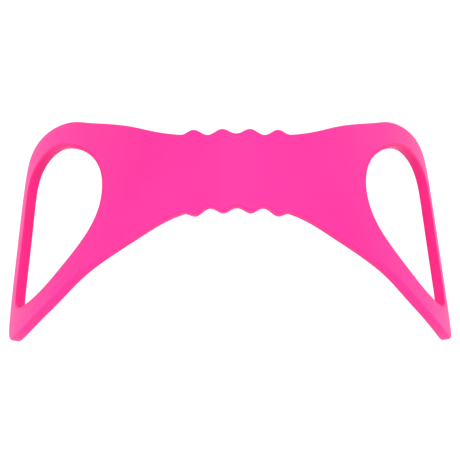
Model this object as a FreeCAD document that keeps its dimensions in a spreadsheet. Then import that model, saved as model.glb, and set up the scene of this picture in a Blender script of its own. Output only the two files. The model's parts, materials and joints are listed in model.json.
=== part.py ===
import FreeCAD, Part
import math
import os

# Figure-eight pull strap of soft silicone, in its resting, bent shape. Millimetres and degrees.
#
# The strap is first described flat. A station is a distance along it from the middle of the waist, and
# a rise is a distance across it from the centre line. The spine then carries each (station, rise) point
# into space: it bends the strap down at both ends and twists each wing so that its edge at +Y tips down.
# The strap stands like an arch on its two end bands, with the front of the waist on top. +X points to
# the right-hand loop and +Z is up. The middle of the footprint is the origin, at floor height.
#
# The real strap is one moulding. Here it is divided at the lines where it bends. Each piece ends in a
# rounded edge on its outer flex line, and the next piece starts a small gap beyond that edge.

SIZES = {
    "thickness": 5.0,
    "half_length": 157.0,
    # waist
    "rib_pitch": 12.6,
    "waist_half": 17.0,
    "rib_height": 2.5,
    "rib_radius": 3.6,
    "flex_gap": 0.3,
    # poles of the outline, from the waist to the far end
    "neck_reach": 25.0,
    "neck_half": 15.5,
    "flare_reach": 50.0,
    "flare_half": 29.0,
    "shoulder_reach": 85.0,
    "shoulder_half": 41.0,
    "crown_reach": 99.5,
    "crown_half": 49.0,
    "corner_reach": 153.0,
    "corner_half": 55.0,
    "end_half": 38.0,
    # poles of the ankle opening, from its wing end to its far end
    "opening_start": 68.0,
    "opening_neck_half": 16.0,
    "opening_shoulder_reach": 93.0,
    "opening_shoulder_half": 33.0,
    "opening_crown_reach": 115.5,
    "opening_crown_half": 40.0,
    "opening_corner_reach": 147.5,
    "opening_corner_half": 36.0,
    "opening_end_half": 22.0,
    "end_band_width": 13.0,
    "limb_start": 76.5,
    # degrees of bend and twist for each millimetre of the spine
    "waist_bend": 1.0,
    "neck_bend": 0.7,
    "wing_bend": 0.42,
    "tip_bend": 0.35,
    "wing_reach": 60.0,
    "wing_twist": 0.29,
    "twist_peak_reach": 50.0,
    "twist_end_reach": 80.0,
    # degrees by which the waist leans, so that both end bands lie flat on the floor
    "waist_lean": 6.35,
}

SPINE_STEP = 0.5
FIRST_CUTTER_SHARE = 0.02
CUTTER_OVERHANG = 3.0
CORNER_SHARE = 0.80
WING_SECTIONS = 6
CUTTER_SECTIONS = 8
LIMB_SECTIONS = 7
HALF_END_SECTIONS = 5

doc = FreeCAD.newDocument("pull_strap")
sheet = doc.addObject("Spreadsheet::Sheet", "Sizes")
for row, (alias, value) in enumerate(SIZES.items(), start=1):
    sheet.set(f"A{row}", alias)
    sheet.set(f"B{row}", str(value))
    sheet.setAlias(f"B{row}", alias)
doc.recompute()


def size(alias):
    """A driving dimension, as the spreadsheet holds it."""
    return float(sheet.get(alias))


def steps(first, last, count):
    """Evenly spaced values, both ends included."""
    return [first + (last - first) * i / (count - 1) for i in range(count)]


# ---- the flat strap ----


def clamped_curve(poles):
    """A smooth curve that starts at the first (station, rise) pole and ends at the last."""
    inner = len(poles) - 4
    knots = [i / (inner + 1) for i in range(inner + 2)]
    mults = [4] + [1] * inner + [4]
    points = [FreeCAD.Vector(station, rise, 0) for station, rise in poles]
    curve = Part.BSplineCurve()
    curve.buildFromPolesMultsKnots(points, mults, knots, False, 3)
    return curve


def outline_curve():
    """Upper half of the strap's edge, from the waist's middle to the far end."""
    half = size("half_length")
    names = ("neck", "flare", "shoulder", "crown", "corner")
    poles = [(size(f"{name}_reach"), size(f"{name}_half")) for name in names]
    return clamped_curve([(0, size("waist_half")), *poles, (half, size("end_half")), (half, 0)])


def opening_curve():
    """Upper half of the ankle opening, from its wing end to its far end."""
    start = size("opening_start")
    end = size("half_length") - size("end_band_width")
    names = ("shoulder", "crown", "corner")
    poles = [(size(f"opening_{name}_reach"), size(f"opening_{name}_half")) for name in names]
    first = [(start, 0), (start, size("opening_neck_half"))]
    return clamped_curve([*first, *poles, (end, size("opening_end_half")), (end, 0)])


OUTLINE = outline_curve()
OPENING = opening_curve()


def share_at(curve, station):
    """The curve's parameter where it reaches a station, by halving."""
    low, high = 0.0, 1.0
    for _ in range(40):
        middle = (low + high) / 2
        if curve.value(middle).x < station:
            low = middle
        else:
            high = middle
    return low


def point(curve, share):
    """A curve's (station, rise) at a parameter."""
    found = curve.value(share)
    return found.x, found.y


def edge_at(curve, station):
    """A curve's (station, rise) at a station."""
    return point(curve, share_at(curve, station))


def flipped(pair):
    """The same (station, rise) below the centre line."""
    return pair[0], -pair[1]


# ---- the spine ----


def between(station, points):
    """Straight-line value at a station, from (station, value) points in order."""
    for (near, low), (far, high) in zip(points, points[1:]):
        if station <= far:
            return low + (high - low) * (station - near) / (far - near)
    return points[-1][1]


def bend_rate(station):
    """Degrees of downward bend per millimetre."""
    waist = [(0, size("waist_bend")), (2 * size("rib_pitch"), size("neck_bend"))]
    wing = (size("wing_reach"), size("wing_bend"))
    return between(station, [*waist, wing, (size("half_length"), size("tip_bend"))])


def twist_rate(station):
    """Degrees per millimetre by which the edge at +Y tips downward."""
    peak = (size("twist_peak_reach"), size("wing_twist"))
    return between(station, [(0, 0), (2 * size("rib_pitch"), 0), peak, (size("twist_end_reach"), 0)])


def walk_spine():
    """One (place, along, across, out) frame at every step, from the waist's middle to the far end."""
    place = FreeCAD.Vector(0, 0, 0)
    along = FreeCAD.Vector(1, 0, 0)
    lean = math.radians(size("waist_lean"))
    across = FreeCAD.Vector(0, math.cos(lean), math.sin(lean))
    frames = []
    for count in range(int(size("half_length") / SPINE_STEP) + 2):
        frames.append((place, along, across, along.cross(across)))
        middle = (count + 0.5) * SPINE_STEP
        turned = FreeCAD.Rotation(across, bend_rate(middle) * SPINE_STEP).multVec(along)
        place = place + (along + turned) * (SPINE_STEP / 2)
        along = turned
        across = FreeCAD.Rotation(along, -twist_rate(middle) * SPINE_STEP).multVec(across)
    return frames


def grounded(frames):
    """The same frames, moved so that the footprint's middle and the lowest point are at the origin."""
    depths = []
    heights = []
    for count, (place, _, across, out) in enumerate(frames):
        reach = edge_at(OUTLINE, count * SPINE_STEP)[1]
        for face in (-size("thickness") / 2, size("thickness") / 2):
            for rise in (-reach, reach):
                corner = place + out * face + across * rise
                depths.append(corner.y)
                heights.append(corner.z)
    offset = FreeCAD.Vector(0, -(min(depths) + max(depths)) / 2, -min(heights))
    return [(place + offset, along, across, out) for place, along, across, out in frames]


SPINE = grounded(walk_spine())


def frame_at(station):
    """The spine's (place, along, across, out) at a station, between two steps."""
    index = int(station / SPINE_STEP)
    share = station / SPINE_STEP - index
    return [a * (1 - share) + b * share for a, b in zip(SPINE[index], SPINE[index + 1])]


def carry(pair):
    """Where a flat (station, rise) point of the sheet's middle goes."""
    place, _, across, _ = frame_at(pair[0])
    return place + across * pair[1]


# ---- solids ----


def section(inner, outer, depth):
    """A rectangle through the sheet, between two flat points."""
    out = frame_at((inner[0] + outer[0]) / 2)[3]
    half = out * (depth / 2)
    a = carry(inner)
    b = carry(outer)
    return Part.makePolygon([a - half, a + half, b + half, b - half, a - half])


def loft(pairs, depth):
    """A solid through one section for each (inner, outer) pair."""
    return Part.makeLoft([section(inner, outer, depth) for inner, outer in pairs], True, False)


def feature(name, shape):
    """A document object that holds a shape made in code."""
    made = doc.addObject("Part::Feature", name)
    made.Label = name
    made.Shape = shape
    return made


def after_flex_line(station):
    """Where the piece beyond a flex line starts, clear of the rounded edge on the line."""
    return station + size("thickness") / 2 + size("flex_gap")


def wing_blank():
    """The web from the waist's outer flex line to the limbs, with no opening yet."""
    first = after_flex_line(2 * size("rib_pitch"))
    edges = [edge_at(OUTLINE, station) for station in steps(first, size("limb_start"), WING_SECTIONS)]
    return loft([(flipped(edge), edge) for edge in edges], size("thickness"))


def opening_cutter():
    """The round end of the ankle opening, deeper than the web."""
    last = share_at(OPENING, size("limb_start") + CUTTER_OVERHANG)
    edges = [point(OPENING, share) for share in steps(FIRST_CUTTER_SHARE, last, CUTTER_SECTIONS)]
    return loft([(flipped(edge), edge) for edge in edges], size("thickness") + 2 * CUTTER_OVERHANG)


def half_round(name, station, low, high):
    """The rounded edge on a flex line, between two rises."""
    place, along, across, out = frame_at(station)
    made = doc.addObject("Part::Cylinder", name)
    made.setExpression("Radius", "Sizes.thickness / 2")
    made.Height = high - low
    made.Angle = 180
    turned = FreeCAD.Rotation(out * -1, along, across, "ZXY")
    made.Placement = FreeCAD.Placement(place + across * low, turned)
    return made


def wing():
    """The right-hand web: a bent blank, less the opening, plus a rounded edge at each limb."""
    web = doc.addObject("Part::Cut", "wing_web")
    web.Base = feature("wing_blank", wing_blank())
    web.Tool = feature("opening_cutter", opening_cutter())
    station = size("limb_start")
    inner = edge_at(OPENING, station)[1]
    outer = edge_at(OUTLINE, station)[1]
    upper = half_round("upper_limb_edge", station, inner, outer)
    lower = half_round("lower_limb_edge", station, -outer, -inner)
    made = doc.addObject("Part::MultiFuse", "right_wing")
    made.Label = "right_wing"
    made.Shapes = [web, upper, lower]
    return made


def band(openings, outlines, count):
    """(opening, outline) pairs of points for a stretch of the loop's band."""
    inner = [point(OPENING, share) for share in steps(*openings, count)]
    outer = [point(OUTLINE, share) for share in steps(*outlines, count)]
    return list(zip(inner, outer))


def outline_corner():
    """The outline's parameter nearest to the opening's corner."""
    return OUTLINE.parameter(OPENING.value(CORNER_SHARE))


def limb(name, below):
    """One band beside the opening, from the limbs' flex line to the end band."""
    first = after_flex_line(size("limb_start"))
    openings = (share_at(OPENING, first), CORNER_SHARE)
    outlines = (share_at(OUTLINE, first), outline_corner())
    pairs = band(openings, outlines, LIMB_SECTIONS)
    if below:
        pairs = [(flipped(inner), flipped(outer)) for inner, outer in pairs]
    return feature(name, loft(pairs, size("thickness")))


def end_band(name):
    """The band round the far end of the opening, from corner to corner."""
    upper = band((CORNER_SHARE, 1), (outline_corner(), 1), HALF_END_SECTIONS)
    lower = [(flipped(inner), flipped(outer)) for inner, outer in reversed(upper[:-1])]
    return feature(name, loft(upper + lower, size("thickness")))


def additive(body, kind, name, **bindings):
    """A PartDesign primitive in a body, with its sizes bound to the spreadsheet."""
    made = body.newObject(f"PartDesign::Additive{kind}", name)
    for key, expression in bindings.items():
        made.setExpression(key.replace("base_", "Placement.Base."), expression)
    return made


def waist_rib(number, side, line, rounded_inside):
    """One waist segment, from flex line number line to the next one out, on one side of the middle."""
    ends = [frame_at(count * size("rib_pitch"))[0] for count in (line, line + 1)]
    near, far = [FreeCAD.Vector(end.x * side, end.y, end.z) for end in ends]
    across = frame_at(0)[2]
    turned = FreeCAD.Rotation(far - near, FreeCAD.Vector(), across, "XZY")
    body = doc.addObject("PartDesign::Body", f"waist_rib_{number}")
    body.Label = f"waist_rib_{number}"
    body.Placement = FreeCAD.Placement(near, turned)

    start = "0" if rounded_inside else "Sizes.thickness / 2 + Sizes.flex_gap"
    additive(
        body,
        "Box",
        f"web_{number}",
        Length=f"Sizes.rib_pitch - ({start})",
        Width="Sizes.thickness",
        Height="2 * Sizes.waist_half",
        base_x=start,
        base_y="-Sizes.thickness / 2",
        base_z="-Sizes.waist_half",
    )
    for name, sign in (("top", ""), ("bottom", "-")):
        rib = additive(
            body,
            "Cylinder",
            f"{name}_rib_{number}",
            Radius="Sizes.rib_radius",
            Height="Sizes.thickness",
            base_x="Sizes.rib_pitch / 2",
            base_y="Sizes.thickness / 2",
            base_z=f"{sign}(Sizes.waist_half + Sizes.rib_height - Sizes.rib_radius)",
        )
        rib.Placement.Rotation = FreeCAD.Rotation(FreeCAD.Vector(1, 0, 0), 90)

    edges = {"outer": "Sizes.rib_pitch"}
    if rounded_inside:
        edges["inner"] = "0"
    for name, reach in edges.items():
        additive(
            body,
            "Cylinder",
            f"{name}_edge_{number}",
            Radius="Sizes.thickness / 2",
            Height="2 * Sizes.waist_half",
            base_x=reach,
            base_z="-Sizes.waist_half",
        )
    return body


def mirrored(source):
    """The same solid on the left-hand side of the strap's middle."""
    name = source.Label.replace("right", "left")
    made = doc.addObject("Part::Mirroring", name)
    made.Label = name
    made.Source = source
    made.Normal = (1, 0, 0)
    return made


waist = [
    waist_rib(1, -1, 1, False),
    waist_rib(2, -1, 0, True),
    waist_rib(3, 1, 0, False),
    waist_rib(4, 1, 1, False),
]
right_side = [
    wing(),
    limb("right_upper_limb", False),
    limb("right_lower_limb", True),
    end_band("right_end_band"),
]
left_side = [mirrored(source) for source in right_side]
nodes = waist + right_side + left_side
doc.recompute()

for made in doc.Objects:
    if "Invalid" in made.State or "Error" in made.State:
        raise RuntimeError(f"{made.Label} did not build: {made.State}")
for made in nodes:
    if made.Shape.isNull() or not made.Shape.isValid() or len(made.Shape.Solids) != 1:
        raise RuntimeError(f"{made.Label} is not one sound solid")

os.makedirs("parts", exist_ok=True)
for made in nodes:
    made.Shape.exportStep(f"parts/{made.Label}.step")
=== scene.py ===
"""A figure-eight pull strap of soft silicone, bent into an arch.

The CAD frame divides the strap at its flex lines. Here the same sheet is made again as seven pieces
that meet in the middle between two flex lines.
The strap is first described flat, in millimetres: a station is a distance along it from the middle
of the waist, a rise is a distance across it, and a depth is a distance out of its front face.
"""

import json
import math

import bmesh
import bpy
import numpy as np
from mathutils import Matrix, Vector


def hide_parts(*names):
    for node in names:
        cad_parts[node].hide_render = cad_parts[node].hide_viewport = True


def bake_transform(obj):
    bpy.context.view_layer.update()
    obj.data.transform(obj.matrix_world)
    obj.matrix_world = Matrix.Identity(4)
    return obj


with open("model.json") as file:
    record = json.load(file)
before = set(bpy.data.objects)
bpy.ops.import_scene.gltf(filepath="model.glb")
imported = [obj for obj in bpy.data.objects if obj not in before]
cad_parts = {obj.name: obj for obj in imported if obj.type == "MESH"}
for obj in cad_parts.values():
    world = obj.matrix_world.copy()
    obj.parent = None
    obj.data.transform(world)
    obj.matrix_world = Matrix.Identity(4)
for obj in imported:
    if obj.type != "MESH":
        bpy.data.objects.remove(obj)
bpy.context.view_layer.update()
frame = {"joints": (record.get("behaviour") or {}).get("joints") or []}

# ---- sizes, in millimetres and degrees ----

MM = 0.001
THICKNESS = 5.0
HALF_LENGTH = 157.0
EDGE_RADIUS = 1.2
EDGE_MARGIN = 0.4

FLEX_PITCH = 12.6
WAVE_HEIGHT = 2.6
WAVE_REACH = 2 * FLEX_PITCH
WAIST_HALF = 17.5

# poles of the curves that make the upper half of the outline and of the ankle opening
OUTLINE_POLES = [
    (0.0, WAIST_HALF),
    (25.0, 15.5),
    (50.0, 29.0),
    (85.0, 41.0),
    (99.5, 49.0),
    (153.0, 55.0),
    (HALF_LENGTH, 38.0),
    (HALF_LENGTH, 0.0),
]
OPENING_START = 68.0
OPENING_END = HALF_LENGTH - 13.0
OPENING_POLES = [
    (OPENING_START, 0.0),
    (OPENING_START, 16.0),
    (93.0, 33.0),
    (115.5, 40.0),
    (147.5, 36.0),
    (OPENING_END, 22.0),
    (OPENING_END, 0.0),
]

# (station, degrees for each millimetre of the spine)
BEND_RATES = [(0.0, 1.0), (WAVE_REACH, 0.7), (60.0, 0.42), (HALF_LENGTH, 0.35)]
TWIST_RATES = [(0.0, 0.0), (WAVE_REACH, 0.0), (50.0, 0.29), (80.0, 0.0)]

# where the pieces meet: on the wave's crests, and in the wing
CUTS = [0.5 * FLEX_PITCH, 1.5 * FLEX_PITCH, 45.0]

# where a loop's bend starts and ends
LOOP_BEND = (50.0, 103.0)

# past the last cut, where the outline's inset turns from straight across the strap to square
INSET_TURN = (3.0, 30.0)

# ---- mesh fineness ----

SPINE_STEP = 0.5
CORNER_STEPS = 6
HALF_ROWS = 11
COLUMN_WIDTH = 0.9
CUT_FINENESS = 1.6
END_FINENESS = 1.3
RING_STEPS = 12
CUT_SHARE = 0.10
CORNER_SHARE = 0.80
FINE_COUNT = 3001
SLOPE_STEP = 0.05
SHARE_STEP = 1e-4
MERGE_DISTANCE = 2e-6
SHARP_ANGLE = math.radians(40)


# ---- the flat strap ----


def clamped_curve(poles, shares):
    """Points of the smooth curve that runs from the first pole to the last, at shares of 0 to 1."""
    poles = np.array(poles)
    knots = np.concatenate([[0, 0, 0], np.linspace(0, 1, len(poles) - 2), [1, 1, 1]])
    shares = np.clip(shares, 0, 1 - 1e-9)[:, None]
    weights = ((knots[:-1] <= shares) & (shares < knots[1:])).astype(float)
    for degree in (1, 2, 3):
        count = len(knots) - 1 - degree
        near = knots[:count]
        far = knots[degree + 1 :]
        rising = np.maximum(knots[degree:-1] - near, 1e-12)
        falling = np.maximum(far - knots[1 : count + 1], 1e-12)
        weights = weights[:, :-1] * (shares - near) / rising + weights[:, 1:] * (far - shares) / falling
    return weights @ poles


def smooth_step(value, start, end):
    """0 before start, 1 after end, and a smooth rise between them."""
    share = np.clip((value - start) / (end - start), 0, 1)
    return share * share * (3 - 2 * share)


FINE_SHARES = np.linspace(0, 1, FINE_COUNT)
FINE_OUTLINE = clamped_curve(OUTLINE_POLES, FINE_SHARES)


def reach_at(stations):
    """Half the strap's width, with the waist's wave."""
    plain = np.interp(np.abs(stations), FINE_OUTLINE[:, 0], FINE_OUTLINE[:, 1])
    phase = 2 * math.pi * stations / FLEX_PITCH
    wave = WAVE_HEIGHT / 2 * (1 - np.cos(phase))
    return plain + np.where(np.abs(stations) < WAVE_REACH, wave, 0)


def stretch_at(stations):
    """How much longer than square the edge's inset is, measured straight across the strap."""
    rise = reach_at(stations + SLOPE_STEP) - reach_at(stations - SLOPE_STEP)
    slope = rise / (2 * SLOPE_STEP)
    return np.sqrt(1 + slope * slope)


def edge_profile():
    """(inset, depth) pairs round the strap's edge, from the front face to the back."""
    angles = np.linspace(math.pi / 2, 0, CORNER_STEPS + 1)
    insets = EDGE_RADIUS * (1 - np.cos(angles))
    depths = THICKNESS / 2 - EDGE_RADIUS + EDGE_RADIUS * np.sin(angles)
    front = [(EDGE_RADIUS + EDGE_MARGIN, THICKNESS / 2), *zip(insets, depths)]
    return np.array(front + [(inset, -depth) for inset, depth in reversed(front)])


PROFILE = edge_profile()
FLAT_INSET = PROFILE[0, 0]


# ---- the spine ----


def turned(vector, axis, degrees):
    """A vector turned about a unit axis."""
    return vector @ np.array(Matrix.Rotation(math.radians(degrees), 3, Vector(axis))).T


def rate_at(rates, station):
    """A rate between its listed stations."""
    return np.interp(station, *zip(*rates))


def walk_spine():
    """The spine's stations, places, directions across the strap and directions out of its front."""
    centre = next(joint for joint in frame["joints"] if joint["name"] == "waist_flex_centre")
    place = np.array(centre["pos_m"]) / MM
    along = np.array([1.0, 0.0, 0.0])
    across = np.array(centre["axis"])
    stations = np.arange(0, HALF_LENGTH + 2 * SPINE_STEP, SPINE_STEP)
    rows = []
    for station in stations:
        rows.append([place, across, np.cross(along, across)])
        middle = station + SPINE_STEP / 2
        ahead = turned(along, across, rate_at(BEND_RATES, middle) * SPINE_STEP)
        place = place + (along + ahead) * SPINE_STEP / 2
        along = ahead
        across = turned(across, along, -rate_at(TWIST_RATES, middle) * SPINE_STEP)
    return stations, np.array(rows)


SPINE_STATIONS, SPINE_ROWS = walk_spine()


def carry(stations, rises, depths):
    """Where flat points go in the strap's resting shape, in metres. Left of the middle is mirrored."""
    stations, rises, depths = np.broadcast_arrays(stations, rises, depths)
    parts = []
    for row in range(3):
        columns = [np.interp(np.abs(stations), SPINE_STATIONS, SPINE_ROWS[:, row, i]) for i in range(3)]
        parts.append(np.stack(columns, axis=-1))
    place, across, out = parts
    points = place + across * rises[..., None] + out * depths[..., None]
    points[..., 0] *= np.where(stations < 0, -1, 1)
    return points * MM


# ---- meshes ----


class Shell:
    """A closed mesh put together from grids of points."""

    def __init__(self):
        self.points = []
        self.faces = []
        self.slots = []

    def add(self, grid, closed=False, slot=0):
        """Adds a grid of points as quads. A closed grid joins its last column to its first."""
        rows, columns = grid.shape[:2]
        first = len(self.points)
        self.points.extend(grid.reshape(-1, 3).tolist())
        for row in range(rows - 1):
            for column in range(columns if closed else columns - 1):
                beside = (column + 1) % columns
                low = first + row * columns
                high = low + columns
                self.faces.append((low + column, low + beside, high + beside, high + column))
                self.slots.append(slot)

    def finished(self, name):
        """The mesh as an object, with its grids joined and its normals facing out."""
        mesh = bpy.data.meshes.new(name)
        mesh.from_pydata(self.points, [], self.faces)
        mesh.materials.append(SILICONE)
        # the second material paints shade: a darker pink for the opening's wall
        mesh.materials.append(PAINTED_SHADE_RIM)
        mesh.polygons.foreach_set("material_index", self.slots)
        made = bmesh.new()
        made.from_mesh(mesh)
        bmesh.ops.remove_doubles(made, verts=made.verts, dist=MERGE_DISTANCE)
        bmesh.ops.dissolve_degenerate(made, edges=made.edges, dist=MERGE_DISTANCE)
        bmesh.ops.recalc_face_normals(made, faces=made.faces)
        made.to_mesh(mesh)
        made.free()
        mesh.shade_smooth()
        mesh.set_sharp_from_angle(angle=SHARP_ANGLE)
        piece = bpy.data.objects.new(name, mesh)
        bpy.context.scene.collection.objects.link(piece)
        return piece


def front_section(stations):
    """Rises and depths of the front half of each station's section, from the lower edge to the upper."""
    reach = reach_at(stations)[:, None]
    stretch = stretch_at(stations)[:, None]
    edge = PROFILE[: len(PROFILE) // 2]
    flat = reach - FLAT_INSET * stretch
    rows = np.linspace(-1, 1, 2 * HALF_ROWS + 1)[1:-1]
    upper = reach - edge[:, 0] * stretch
    rises = np.hstack([-upper[:, ::-1], flat * rows, upper])
    middle = np.full(len(rows), THICKNESS / 2)
    depths = np.concatenate([edge[::-1, 1], middle, edge[:, 1]])
    return rises, np.broadcast_to(depths, rises.shape)


def add_cap(shell, station):
    """Closes a piece with a flat wall across the strap."""
    rises, depths = front_section(np.array([station]))
    both = np.stack([depths[0], -depths[0]])
    shell.add(carry(station, np.stack([rises[0], rises[0]]), both))


def waist_piece(name, first, last):
    """A stretch of the waist between two cuts, with columns closer together near the cuts."""
    shell = Shell()
    count = int((last - first) / COLUMN_WIDTH * CUT_FINENESS) + 2
    shares = (1 - np.cos(np.linspace(0, math.pi, count))) / 2
    stations = first + (last - first) * shares
    rises, depths = front_section(stations)
    rises = np.hstack([rises, rises[:, ::-1]])
    depths = np.hstack([depths, -depths[:, ::-1]])
    shell.add(carry(stations[:, None], rises, depths), closed=True)
    add_cap(shell, first)
    add_cap(shell, last)
    return shell.finished(name)


def inward(poles, shares, sign):
    """Unit directions square to a curve, on the side that sign says."""
    tangent = clamped_curve(poles, shares + SHARE_STEP) - clamped_curve(poles, shares - SHARE_STEP)
    tangent /= np.linalg.norm(tangent, axis=1)[:, None]
    return sign * np.stack([tangent[:, 1], -tangent[:, 0]], axis=1)


def loop_piece(name, side):
    """The wing's outer part and the band round the ankle opening. side is 1 right and -1 left."""
    shell = Shell()
    cut = CUTS[-1]
    cut_share = np.interp(cut, FINE_OUTLINE[:, 0], FINE_SHARES)
    opening_corner = clamped_curve(OPENING_POLES, np.array([CORNER_SHARE]))
    distances = np.linalg.norm(FINE_OUTLINE - opening_corner, axis=1)
    corner_share = FINE_SHARES[np.argmin(distances)]

    # the outline and its direction inward, which is straight across the strap at the cut
    length = np.linalg.norm(np.diff(FINE_OUTLINE, axis=0), axis=1).sum()
    limb_count = int(length * (corner_share - cut_share) / COLUMN_WIDTH)
    end_count = int(length * (1 - corner_share) / COLUMN_WIDTH * END_FINENESS)
    outer_shares = np.concatenate(
        [
            np.linspace(cut_share, corner_share, limb_count, endpoint=False),
            np.linspace(corner_share, 1, end_count),
        ]
    )
    outline = clamped_curve(OUTLINE_POLES, outer_shares)
    square = inward(OUTLINE_POLES, outer_shares, 1)
    straight = np.stack([np.zeros(len(outline)), -stretch_at(outline[:, 0])], axis=1)
    turn = smooth_step(outline[:, 0], cut + INSET_TURN[0], cut + INSET_TURN[1])[:, None]
    outline_in = straight * (1 - turn) + square * turn

    # the opening, with one point for each row of the cut and each point of the outline
    opening_shares = np.concatenate(
        [
            np.linspace(0, CUT_SHARE, HALF_ROWS, endpoint=False),
            np.linspace(CUT_SHARE, CORNER_SHARE, limb_count, endpoint=False),
            np.linspace(CORNER_SHARE, 1, end_count),
        ]
    )
    opening = clamped_curve(OPENING_POLES, opening_shares)
    opening_in = inward(OPENING_POLES, opening_shares, -1)

    def place(flat, depths, flip):
        """Flat points in space, on the upper half or, flipped, on the lower half."""
        return carry(side * flat[..., 0], flip * flat[..., 1], depths)

    flat_reach = outline[0, 1] - FLAT_INSET * stretch_at(outline[:1, 0])[0]
    cut_rises = np.linspace(0, flat_reach, HALF_ROWS, endpoint=False)
    cut_rows = np.stack([np.full(HALF_ROWS, cut), cut_rises], axis=1)
    outside = np.vstack([cut_rows, outline + outline_in * FLAT_INSET])
    inside = opening + opening_in * FLAT_INSET
    shares = np.linspace(0, 1, RING_STEPS + 1)[:, None, None]
    ring = outside * (1 - shares) + inside * shares

    insets = PROFILE[:, 0][:, None, None]
    depths = PROFILE[:, 1][:, None]
    for flip in (1, -1):
        shell.add(place(outline + outline_in * insets, depths, flip))
        # the opening's rounded edge and wall take the second material, a darker pink that is painted
        # shade
        shell.add(place(opening + opening_in * insets, depths, flip), slot=1)
        for face in (THICKNESS / 2, -THICKNESS / 2):
            shell.add(place(ring, face, flip))
    add_cap(shell, side * cut)
    return shell.finished(name)


# ---- material ----


def silicone(name, dark, light):
    """Matte silicone, in two shades that drift into each other, with a fine moulded grain."""
    material = bpy.data.materials.new(name)
    material.use_nodes = True
    nodes = material.node_tree.nodes
    links = material.node_tree.links
    shader = nodes["Principled BSDF"]
    shader.inputs["IOR"].default_value = 1.41
    shader.inputs["Specular IOR Level"].default_value = 0.14

    place = nodes.new("ShaderNodeTexCoord")

    clouds = nodes.new("ShaderNodeTexNoise")
    clouds.inputs["Scale"].default_value = 28.0
    clouds.inputs["Detail"].default_value = 3.0
    links.new(place.outputs["Object"], clouds.inputs["Vector"])
    tint = nodes.new("ShaderNodeValToRGB")
    tint.color_ramp.elements[0].position = 0.3
    tint.color_ramp.elements[0].color = dark
    tint.color_ramp.elements[1].position = 0.7
    tint.color_ramp.elements[1].color = light
    links.new(clouds.outputs["Fac"], tint.inputs["Fac"])
    links.new(tint.outputs["Color"], shader.inputs["Base Color"])

    haze = nodes.new("ShaderNodeMapRange")
    haze.inputs["To Min"].default_value = 0.38
    haze.inputs["To Max"].default_value = 0.54
    links.new(clouds.outputs["Fac"], haze.inputs["Value"])
    links.new(haze.outputs["Result"], shader.inputs["Roughness"])

    grain = nodes.new("ShaderNodeTexNoise")
    grain.inputs["Scale"].default_value = 2600.0
    grain.inputs["Detail"].default_value = 2.0
    links.new(place.outputs["Object"], grain.inputs["Vector"])
    bump = nodes.new("ShaderNodeBump")
    bump.inputs["Strength"].default_value = 0.2
    bump.inputs["Distance"].default_value = 0.0001
    links.new(grain.outputs["Fac"], bump.inputs["Height"])
    links.new(bump.outputs["Normal"], shader.inputs["Normal"])
    return material


def floor_white():
    """A plain pale floor, slightly lit from within like a light table, so that it stays white."""
    material = bpy.data.materials.new("floor_white")
    material.use_nodes = True
    shader = material.node_tree.nodes["Principled BSDF"]
    shader.inputs["Base Color"].default_value = (0.2, 0.2, 0.2, 1.0)
    shader.inputs["Roughness"].default_value = 0.9
    shader.inputs["Specular IOR Level"].default_value = 0.1
    shader.inputs["Emission Color"].default_value = (1.0, 1.0, 1.0, 1.0)
    shader.inputs["Emission Strength"].default_value = 0.95
    return material


# ---- the strap ----

SILICONE = silicone("silicone", (0.98, 0.032, 0.300, 1.0), (1.0, 0.037, 0.320, 1.0))
# the second material is the same silicone in a deeper, darker pink for the opening's wall: painted shade
# for the wall inside the ankle loops
PAINTED_SHADE_RIM = silicone("silicone_rim_painted_shade", (0.88, 0.018, 0.215, 1.0), (0.92, 0.022, 0.235, 1.0))


def dress(piece, near_body, far_body, near_station, far_station, *nodes):
    """Hides the CAD parts that a piece stands in for and bakes the piece's placement into its mesh."""
    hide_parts(*nodes)
    start = tuple(carry(near_station, 0, 0))
    end = tuple(carry(far_station, 0, 0))
    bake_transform(piece)


middle = waist_piece("waist_middle", -CUTS[0], CUTS[0])
dress(middle, "waist_inner_left", "waist_inner_right", -CUTS[0], CUTS[0], "waist_rib_2", "waist_rib_3")

for side, name, inner_rib in ((1, "right", "waist_rib_4"), (-1, "left", "waist_rib_1")):
    inner = f"waist_inner_{name}"
    outer = f"waist_outer_{name}"
    web = f"{name}_web"
    waist = waist_piece(f"{name}_waist", *sorted((side * CUTS[0], side * CUTS[1])))
    dress(waist, inner, outer, side * CUTS[0], side * CUTS[1], inner_rib)
    neck = waist_piece(f"{name}_neck", *sorted((side * CUTS[1], side * CUTS[2])))
    dress(neck, outer, web, side * CUTS[1], side * (2 * WAVE_REACH - CUTS[1]), f"{name}_wing")
    loop = loop_piece(f"{name}_ankle_loop", side)
    bands = [f"{name}_{part}" for part in ("upper_limb", "lower_limb", "end_band")]
    dress(loop, web, f"{name}_loop", side * LOOP_BEND[0], side * LOOP_BEND[1], *bands)


# ---- floor, light and camera ----

# in metres
FLOOR_HALF = 3.0
FLOOR_HEIGHT = -0.07

# the world's light fades from the horizon up to a height, which is a share of straight up
HORIZON_LIGHT = 0.95
SKY_LIGHT = 0.3
HORIZON_TOP = 0.16

# the two side lamps and the top lamp, in metres and watts
SIDE_LAMP = (1.3, -0.35, 1.2)
SIDE_SIZE = 1.2
SIDE_POWER = 17.0
TOP_LAMP = (0.05, 0.25, 1.6)
TOP_SIZE = 0.5
TOP_POWER = 8.0
LIT_POINT = Vector((0, 0, 0.05))

# in degrees and metres, with the lens in millimetres
CAMERA_AZIMUTH = -4.92
CAMERA_ELEVATION = 64.74
CAMERA_ROLL = 4.37
CAMERA_DISTANCE = 1.087
CAMERA_LENS = 189.0
AIM = Vector((-0.0030, -0.0296, 0.0946))


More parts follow.
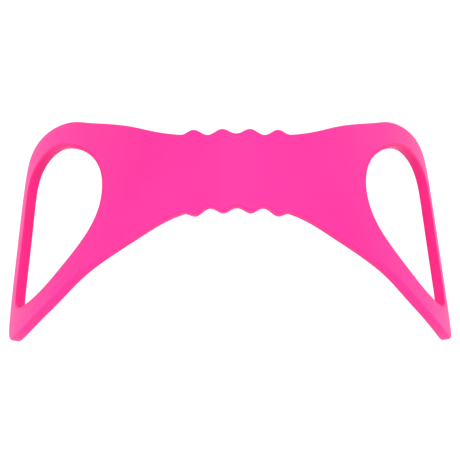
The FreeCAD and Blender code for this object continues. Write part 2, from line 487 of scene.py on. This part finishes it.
def make_floor():
    """The floor, low enough to show the end bands when the strap is folded further."""
    mesh = bpy.data.meshes.new("floor")
    signs = [(-1, -1), (1, -1), (1, 1), (-1, 1)]
    corners = [(x * FLOOR_HALF, y * FLOOR_HALF, FLOOR_HEIGHT) for x, y in signs]
    mesh.from_pydata(corners, [], [(0, 1, 2, 3)])
    mesh.materials.append(floor_white())
    floor = bpy.data.objects.new("floor", mesh)
    bpy.context.scene.collection.objects.link(floor)


def area_light(name, place, width, power):
    """A square soft light that faces the strap."""
    data = bpy.data.lights.new(name, "AREA")
    data.shape = "SQUARE"
    data.size = width
    data.energy = power
    light = bpy.data.objects.new(name, data)
    light.location = place
    light.rotation_mode = "QUATERNION"
    light.rotation_quaternion = (LIT_POINT - Vector(place)).to_track_quat("-Z", "Y")
    bpy.context.scene.collection.objects.link(light)


def make_camera():
    """The camera, above the front of the strap and slightly rolled."""
    azimuth = math.radians(CAMERA_AZIMUTH)
    elevation = math.radians(CAMERA_ELEVATION)
    back = Vector(
        (
            math.sin(azimuth) * math.cos(elevation),
            -math.cos(azimuth) * math.cos(elevation),
            math.sin(elevation),
        )
    )
    data = bpy.data.cameras.new("camera")
    data.lens = CAMERA_LENS
    camera = bpy.data.objects.new("camera", data)
    level = (-back).to_track_quat("-Z", "Y")
    roll = Matrix.Rotation(math.radians(CAMERA_ROLL), 4, "Z")
    place = Matrix.Translation(AIM + back * CAMERA_DISTANCE)
    camera.matrix_world = place @ level.to_matrix().to_4x4() @ roll
    bpy.context.scene.collection.objects.link(camera)
    bpy.context.scene.camera = camera


def make_world():
    """Soft white light, brightest round the horizon, where a low view would show it."""
    world = bpy.data.worlds.new("studio")
    world.use_nodes = True
    nodes = world.node_tree.nodes
    links = world.node_tree.links
    direction = nodes.new("ShaderNodeTexCoord")
    axes = nodes.new("ShaderNodeSeparateXYZ")
    fade = nodes.new("ShaderNodeMapRange")
    fade.inputs["From Min"].default_value = HORIZON_TOP / 2
    fade.inputs["From Max"].default_value = HORIZON_TOP
    fade.inputs["To Min"].default_value = HORIZON_LIGHT
    fade.inputs["To Max"].default_value = SKY_LIGHT
    background = nodes["Background"]
    background.inputs["Color"].default_value = (1.0, 1.0, 1.0, 1.0)
    links.new(direction.outputs["Generated"], axes.inputs["Vector"])
    links.new(axes.outputs["Z"], fade.inputs["Value"])
    links.new(fade.outputs["Result"], background.inputs["Strength"])
    bpy.context.scene.world = world


make_floor()
make_world()
area_light("left_key", (-SIDE_LAMP[0], *SIDE_LAMP[1:]), SIDE_SIZE, SIDE_POWER)
area_light("right_key", SIDE_LAMP, SIDE_SIZE, SIDE_POWER)
area_light("top_key", TOP_LAMP, TOP_SIZE, TOP_POWER)
make_camera()
bpy.context.scene.view_settings.view_transform = "Standard"
